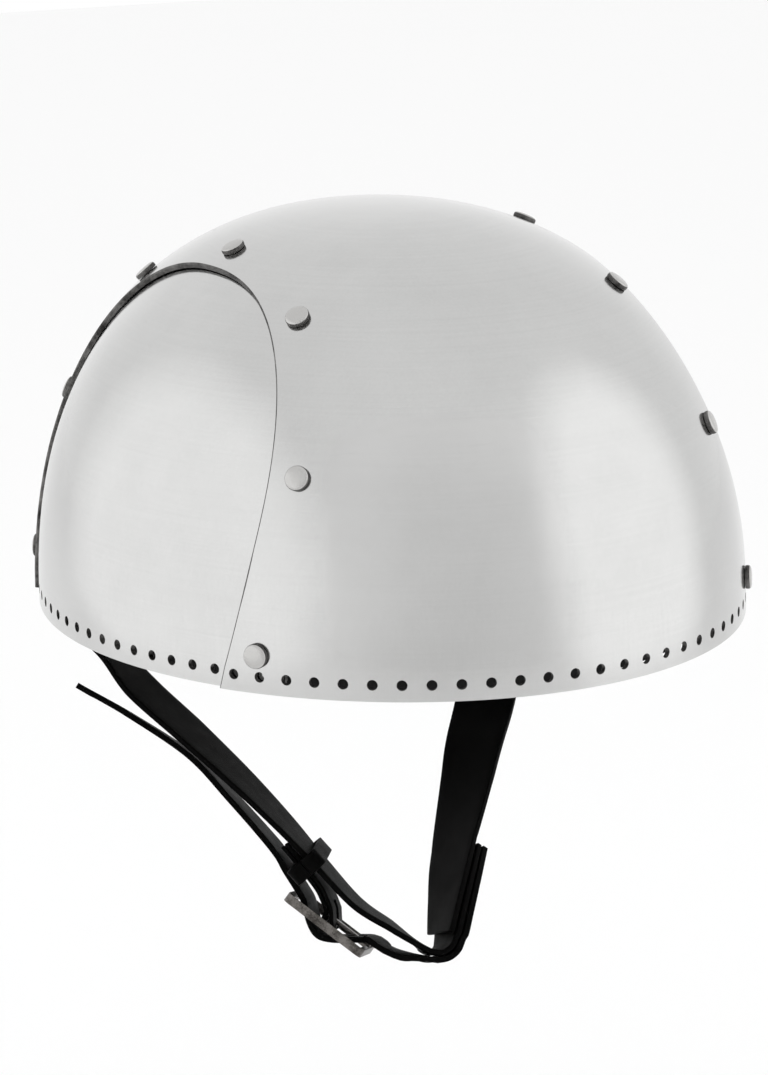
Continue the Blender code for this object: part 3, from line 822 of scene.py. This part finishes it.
def keeper(right, leather):
    """A leather loop round the right strap and the end of the buckle's folded leather."""
    goal = bends([KEEPER_PLACE])[0][0]
    point, width, normal = min(right, key=lambda row: (row[0] - goal).length)
    along = normal.cross(width)
    apart = (goal - point).dot(normal)
    reach = abs(apart) + CHAPE + GAP / 2
    centre = point + math.copysign((reach - STRAP / 2) / 2, apart) * normal
    half = (STRAP_WIDTH + KEEPER_ROOM + KEEPER_WALL) / 2
    deep = (reach + STRAP / 2 + KEEPER_ROOM + KEEPER_WALL) / 2
    rows = []
    for across, rise, start in ((1, 1, 0), (-1, 1, 90), (-1, -1, 180), (1, -1, 270)):
        middle = centre + across * (half - KEEPER_CORNER) * width
        middle += rise * (deep - KEEPER_CORNER) * normal
        for step in range(CORNER_STEPS + 1):
            angle = math.radians(start + 90 / CORNER_STEPS * step)
            away = math.cos(angle) * width + math.sin(angle) * normal
            rows.append((middle + KEEPER_CORNER * away, along, away))
    first = rows[-1][0].lerp(rows[0][0], 0.5 - KEEPER_SLIT / 2)
    last = rows[-1][0].lerp(rows[0][0], 0.5 + KEEPER_SLIT / 2)
    framed = [(last, along, rows[0][2])] + rows + [(first, along, rows[-1][2])]
    loop = leather_strip("keeper_leather", framed, KEEPER_WALL, KEEPER_LENGTH, round_off=THIN_ROUND)
    finish_piece(loop, leather, "black_leather", "keeper_loop")


# Buckle

def prong_taper(share):
    """The prong's width along its length, as a share of its full width."""
    return 1 - PRONG_TAPER * max(0, share - PRONG_TAPER_FROM)


def buckle(steel):
    """The frame with its middle bar, and the prong curled round the bar."""
    centre, along, width, out = buckle_axes()
    axes = (along, width, out)
    body = box_tool(centre, axes, (BUCKLE_LENGTH, BUCKLE_WIDTH, BUCKLE_BAR))
    body.name = body.data.name = "buckle_frame_steel"
    bpy.ops.object.mode_set(mode="EDIT")
    bpy.ops.mesh.select_all(action="DESELECT")
    bpy.ops.object.mode_set(mode="OBJECT")
    mesh = body.data
    for edge in mesh.edges:
        a, b = (mesh.vertices[index].co for index in edge.vertices)
        edge.select = abs((a - b).normalized().dot(out)) > 0.9
    bpy.ops.object.mode_set(mode="EDIT")
    bpy.ops.mesh.select_mode(type="EDGE")
    bpy.ops.mesh.bevel(offset=BUCKLE_CORNER, segments=8, affect="EDGES")
    bpy.ops.object.mode_set(mode="OBJECT")
    inner = (BUCKLE_LENGTH - 2 * BUCKLE_BAR, BUCKLE_WIDTH - 2 * BUCKLE_BAR, 4 * BUCKLE_BAR)
    cut(body, box_tool(centre, axes, inner))
    bevel(body, BUCKLE_ROUND, 4, 40)
    reach = BUCKLE_WIDTH - BUCKLE_BAR
    bpy.ops.object.select_all(action="DESELECT")
    bpy.ops.mesh.primitive_cylinder_add(vertices=BAR_SIDES, radius=MIDDLE_BAR / 2, depth=reach)
    bar = made("bar_tool")
    place = Matrix((out, along, width)).transposed().to_4x4()
    place.translation = centre
    bar.data.transform(place)
    tidy_normals(bar)
    cut(body, bar, "UNION")
    smooth_shade(body, 40)
    finish_piece(body, [steel], "buckle_steel", "buckle_frame")

    radius = BUCKLE_BAR / 2 + GAP + PRONG / 2
    tip = centre + (BUCKLE_LENGTH / 2 - BUCKLE_BAR / 4) * along + radius * out
    start = centre + radius * out
    shank = [(start.lerp(tip, share), width, out) for share in PRONG_ROWS]
    framed = curl(radius, PRONG_ARC, CURL_STEPS) + shank
    prong = leather_strip("prong_steel", framed, PRONG, PRONG_WIDTH, prong_taper, THIN_ROUND)
    finish_piece(prong, [steel, steel, steel], "buckle_steel", "buckle_prong")


# Finishes

class Wire:
    """A shader socket that adds Math nodes where it stands in an expression."""

    def __init__(self, paint, socket):
        self.paint = paint
        self.socket = socket

    def math(self, operation, first, second):
        return self.paint.add("ShaderNodeMath", {"operation": operation}, {0: first, 1: second})

    def __add__(self, other):
        return self.math("ADD", self, other)

    def __radd__(self, other):
        return self.math("ADD", other, self)

    def __sub__(self, other):
        return self.math("SUBTRACT", self, other)

    def __rsub__(self, other):
        return self.math("SUBTRACT", other, self)

    def __mul__(self, other):
        return self.math("MULTIPLY", self, other)

    def __rmul__(self, other):
        return self.math("MULTIPLY", other, self)


class Paint:
    """A material that is built up node by node."""

    def __init__(self, name, **constants):
        self.material = bpy.data.materials.new(name)
        self.material.use_nodes = True
        self.tree = self.material.node_tree
        self.shader = self.tree.nodes["Principled BSDF"]
        for socket, value in constants.items():
            self.shader.inputs[socket.replace("_", " ")].default_value = value

    def add(self, kind, settings=None, inputs=None, out=0):
        """A node of a type with its settings and the values or links of its sockets."""
        node = self.tree.nodes.new(kind)
        for name, value in (settings or {}).items():
            setattr(node, name, value)
        for name, value in (inputs or {}).items():
            self.feed(node.inputs[name], value)
        return Wire(self, node.outputs[out])

    def feed(self, socket, value):
        """Links a wire to a socket, or sets the socket's own value."""
        if isinstance(value, Wire):
            self.tree.links.new(value.socket, socket)
        else:
            socket.default_value = value

    def set(self, name, value):
        """Feeds one of the shader's sockets."""
        self.feed(self.shader.inputs[name], value)

    def place(self, scale=(1, 1, 1), turn=(0, 0, 0), shift=(0, 0, 0)):
        """The object's own coordinates, scaled and turned."""
        coordinates = self.add("ShaderNodeTexCoord", out="Object")
        return self.add(
            "ShaderNodeMapping", None,
            {"Vector": coordinates, "Scale": scale, "Rotation": turn, "Location": shift},
        )

    def from_middle(self):
        """How near a point of a sheet is to its middle: 1 there and 0 at its rim."""
        across = self.add("ShaderNodeTexCoord", out="UV")
        to_middle = {"Vector": across, "Location": (-1, -1, 0), "Scale": (2, 2, 1)}
        moved = self.add("ShaderNodeMapping", None, to_middle)
        return self.add("ShaderNodeTexGradient", {"gradient_type": "SPHERICAL"}, {"Vector": moved})

    def noise(self, where, scale, detail, rough=0.5, twist=0.0):
        """Cloudy noise from 0 to 1."""
        return self.add(
            "ShaderNodeTexNoise", None,
            {"Vector": where, "Scale": scale, "Detail": detail, "Roughness": rough, "Distortion": twist},
        )

    def spread(self, value, low, high, bottom=0.0, top=1.0):
        """A value's range from low to high stretched to bottom to top, and held there."""
        return self.add(
            "ShaderNodeMapRange", {"clamp": True},
            {"Value": value, "From Min": low, "From Max": high, "To Min": bottom, "To Max": top},
        )

    def mix(self, share, first, second):
        """A colour between two, by a share."""
        return self.add("ShaderNodeMix", {"data_type": "RGBA"}, {0: share, 6: first, 7: second}, out=2)

    def bump(self, height, strength, distance, normal=None):
        """Normals raised by a height, over other normals if there are any."""
        inputs = {"Height": height, "Strength": strength, "Distance": distance}
        if normal:
            inputs["Normal"] = normal
        return self.add("ShaderNodeBump", None, inputs)


def steel_finish(name, tone, roughness, seed):
    """Hand-polished steel: faint brush lines both ways, a few scratches and a slight unevenness."""
    paint = Paint(name, Metallic=1.0)
    level_lines = paint.place((16, 16, 1900), (0.06, 0.03, seed), (seed, 0, 0))
    upright_lines = paint.place((1700, 1700, 14), (0.03, -0.05, seed), (0, seed, 0))
    level = paint.noise(level_lines, 1.0, 4.0, 0.6)
    upright = paint.noise(upright_lines, 1.0, 4.0, 0.6)
    cloud = paint.noise(paint.place(shift=(seed, 0, 0)), 24.0, 5.0, 0.6)
    wave = paint.noise(paint.place(shift=(0, seed, 0)), 17.0, 2.0, 0.4)
    fine = paint.noise(paint.place(), 1300.0, 2.0, 0.5)
    slanting_lines = paint.place((60, 60, 900), (0.5, 0.3, seed), (seed, seed, 0))
    scratch = paint.noise(slanting_lines, 1.0, 1.0, 0.4, 0.8)
    marks = paint.spread(scratch, 0.70, 0.76)
    brush = level * 0.55 + upright * 0.45
    paint.set("Roughness", roughness + (brush - 0.5) * 0.10 + (cloud - 0.5) * 0.12 + marks * 0.06)
    dark = tuple(channel * 0.93 for channel in tone) + (1,)
    light = tuple(min(1, channel * 1.05) for channel in tone) + (1,)
    share = paint.spread(brush * 0.35 + cloud * 0.55 + fine * 0.10, 0.34, 0.66)
    paint.set("Base Color", paint.mix(share, dark, light))
    grain = paint.bump(brush + 0.3 * fine - 0.3 * marks, 0.055, 0.00003)
    paint.set("Normal", paint.bump(wave, 0.20, 0.0016, grain))
    return paint.material


def cut_edge_shade_finish():
    """The plates' cut edges and hole walls, and the rivets' sides: sheared steel painted dark, as
    painted shade.
    """
    paint = Paint("cut_edge_shade_steel", Metallic=0.8)
    shear = paint.noise(paint.place(), 900.0, 4.0, 0.7)
    blot = paint.noise(paint.place(), 160.0, 4.0, 0.6)
    share = paint.spread(shear * 0.4 + blot * 0.6, 0.38, 0.66)
    # Painted shade: near-black to mid grey on the edges, in the holes and round the rivets.
    paint.set("Base Color", paint.mix(share, (0.018, 0.017, 0.016, 1), (0.20, 0.195, 0.19, 1)))
    paint.set("Roughness", paint.spread(shear, 0.3, 0.7, 0.38, 0.60))
    paint.set("Normal", paint.bump(shear + blot, 0.5, 0.00025))
    return paint.material


def leather_finish(name, dark, light, roughness, grain, depth, seed):
    """Black leather: a fine grain of pores and creases, worn a little paler in places."""
    paint = Paint(name, Specular_IOR_Level=0.035)
    where = paint.place(shift=(seed, 0, 0))
    edges = {"feature": "DISTANCE_TO_EDGE"}
    pores = paint.add("ShaderNodeTexVoronoi", edges, {"Vector": where, "Scale": grain})
    fuzz = paint.noise(where, grain * 1.7, 4.0, 0.65)
    cloud = paint.noise(where, 140.0, 4.0, 0.6)
    crease = paint.noise(where, 420.0, 3.0, 0.6, 0.6)
    speck = paint.spread(fuzz * 0.6 + cloud * 0.4, 0.40, 0.66)
    colours = [(tone, tone * 0.97, tone * 0.94, 1) for tone in (dark, light)]
    paint.set("Base Color", paint.mix(speck, *colours))
    worn = cloud * 0.5 + fuzz * 0.5
    paint.set("Roughness", paint.spread(worn, 0.3, 0.7, roughness - 0.10, roughness + 0.12))
    cells = paint.spread(pores, 0.0, 0.12)
    paint.set("Normal", paint.bump(cells * 0.5 + fuzz * 0.5 + crease * 0.9, 0.45, depth))
    return paint.material


def buckle_finish():
    """Aged steel, dark and a little warm, rubbed brighter in places."""
    paint = Paint("aged_buckle_steel", Metallic=1.0)
    cloud = paint.noise(paint.place(), 300.0, 4.0, 0.6)
    fine = paint.noise(paint.place(), 2400.0, 3.0, 0.6)
    share = paint.spread(cloud * 0.7 + fine * 0.3, 0.38, 0.66)
    paint.set("Base Color", paint.mix(share, (0.050, 0.046, 0.042, 1), (0.21, 0.197, 0.185, 1)))
    paint.set("Roughness", paint.spread(cloud, 0.3, 0.7, 0.28, 0.44))
    paint.set("Normal", paint.bump(cloud + 0.4 * fine, 0.25, 0.00012))
    return paint.material


# Studio

def hang(name, place, material):
    """A sheet hung round the helmet and turned towards it, out of the camera's sight."""
    sheet = plane(name, place.size, material)
    way = way_towards(place.azimuth, place.elevation)
    turn = way.to_track_quat("Z", "Y").to_matrix().to_4x4()
    sheet.data.transform(Matrix.Translation(place.distance * way + STUDIO_CENTRE) @ turn)
    sheet.visible_camera = False
    return sheet


def soft_box(name, place, glow):
    """A cloth lit from behind, brightest in its middle and fading out to nothing at its rim."""
    paint = Paint(f"{name}_cloth", Roughness=1.0)
    weave = paint.noise(paint.place(), 400.0, 2.0)
    paint.set("Base Color", (0, 0, 0, 1))
    paint.set("Specular IOR Level", 0.0)
    paint.set("Emission Color", paint.mix(weave, (0.98, 0.98, 0.98, 1), (1, 1, 1, 1)))
    paint.set("Emission Strength", glow)
    paint.set("Alpha", paint.spread(paint.from_middle(), 0.0, SOFT_RIM))
    sheet = hang(name, place, paint.material)
    sheet.visible_shadow = False
    return sheet


def paper(name, tone, rim):
    """White paper, of one tone in its middle and another towards its rim."""
    paint = Paint(name, Roughness=0.9)
    fibre = paint.noise(paint.place(), 1.2, 2.0)
    share = paint.spread(paint.from_middle() + (fibre - 0.5) * 0.1, 0.0, 0.75)
    paint.set("Base Color", paint.mix(share, (rim, rim, rim, 1), (tone, tone, tone, 1)))
    return paint.material


def plane(name, size, material):
    """A flat sheet of a size and a material, lying at the origin."""
    bpy.ops.object.select_all(action="DESELECT")
    bpy.ops.mesh.primitive_plane_add(size=1)
    sheet = made(name)
    sheet.data.transform(Matrix.Diagonal((*size, 1, 1)))
    sheet.data.materials.append(material)
    return sheet


def rim_shade_band():
    """A dark band held inside the rim, painted shade: it stands for the shaded inside of the helmet and
    is seen through the rim holes alone.
    """
    bpy.ops.object.select_all(action="DESELECT")
    bpy.ops.mesh.primitive_grid_add(x_subdivisions=1, y_subdivisions=SHADE_BAND_STEPS, size=1)
    band = made("rim_shade_band")
    for vertex in band.data.vertices:
        on_wall = dome_point(2 * math.pi * vertex.co.y, HOLE_HEIGHT, SHADE_BAND_DEPTH)
        vertex.co = (on_wall.x, on_wall.y, SHADE_BAND_HEIGHT if vertex.co.x > 0 else 0)
    # Painted shade: near-black, with a fine fuzz, seen through the rim holes.
    dark = Paint("painted_hole_shade", Roughness=0.95, Specular_IOR_Level=0.1)
    fuzz = dark.noise(dark.place(), 900.0, 3.0)
    dark.set("Base Color", dark.mix(fuzz, (0.012, 0.012, 0.012, 1), (0.03, 0.03, 0.03, 1)))
    band.data.materials.append(dark.material)
    return band


def studio():
    """A white tent: a white floor, a grey card on the camera's side and soft boxes beside it."""
    floor = plane("studio_floor", FLOOR_SIZE, paper("white_paper", 0.96, 0.95))
    floor.data.transform(Matrix.Translation((0, FLOOR_BACK, FLOOR)))
    card = hang("camera_card", CARD, paper("grey_paper", 0.83, 0.97))
    left = soft_box("left_soft_box", LEFT_BOX, LEFT_GLOW)
    right = soft_box("right_soft_box", RIGHT_BOX, RIGHT_GLOW)
    # A dark band inside the rim: painted shade seen through the rim holes.
    rim_shade_band()

    world = bpy.data.worlds.new("studio_air")
    world.use_nodes = True
    world.node_tree.nodes["Background"].inputs["Color"].default_value = (1, 1, 1, 1)
    world.node_tree.nodes["Background"].inputs["Strength"].default_value = 1.0
    bpy.context.scene.world = world
    bpy.context.scene.view_settings.view_transform = "Standard"


def camera():
    """The photograph's view: from the wearer's front right, a little above the rim."""
    lens = bpy.data.cameras.new("studio_camera")
    lens.sensor_width = FILM_WIDTH
    lens.lens = LENS
    lens.shift_x, lens.shift_y = LENS_SHIFT
    lens.clip_end = FARTHEST
    view = bpy.data.objects.new("studio_camera", lens)
    bpy.context.scene.collection.objects.link(view)
    turn = (EYE - AIM).to_track_quat("Z", "Y").to_matrix().to_4x4()
    roll = Matrix.Rotation(math.radians(CAMERA_ROLL), 4, "Z")
    view.matrix_world = Matrix.Translation(EYE) @ turn @ roll
    bpy.context.scene.camera = view


def main():
    camera()
    studio()
    band_steel = steel_finish("band_steel", (0.575, 0.575, 0.570), 0.15, 0.3)
    plate_steel = steel_finish("side_plate_steel", (0.580, 0.580, 0.575), 0.15, 1.7)
    rivet_steel = steel_finish("rivet_head_steel", (0.50, 0.495, 0.485), 0.24, 2.9)
    buckle_steel = buckle_finish()
    # Dark steel for cut edges, hole walls and rivet sides: painted shade.
    edge_shade_steel = cut_edge_shade_finish()
    grain = leather_finish("leather_grain_side", 0.0006, 0.0022, 0.55, 1500.0, 0.00010, 0.0)
    flesh = leather_finish("leather_rough_side", 0.0007, 0.0042, 0.85, 2300.0, 0.00014, 2.0)
    edge = leather_finish("leather_cut_edge", 0.0010, 0.0060, 0.75, 1900.0, 0.00010, 5.0)
    leather = [grain, flesh, edge]
    crown_band([band_steel, edge_shade_steel])
    for side, word in ((-1, "right"), (1, "left")):
        side_plate(word, side, [plate_steel, edge_shade_steel])
        for number, place in enumerate(rivet_places(side), 1):
            strap = GAP + STRAP_HOLLOW + STRAP + GAP if number == RIVETS else GAP
            rivet(word, number, place, INNER_SKIN + strap, [rivet_steel, edge_shade_steel])
    right = chin_straps(leather)
    buckle_leather(leather)
    keeper(right, leather)
    buckle(buckle_steel)


main()
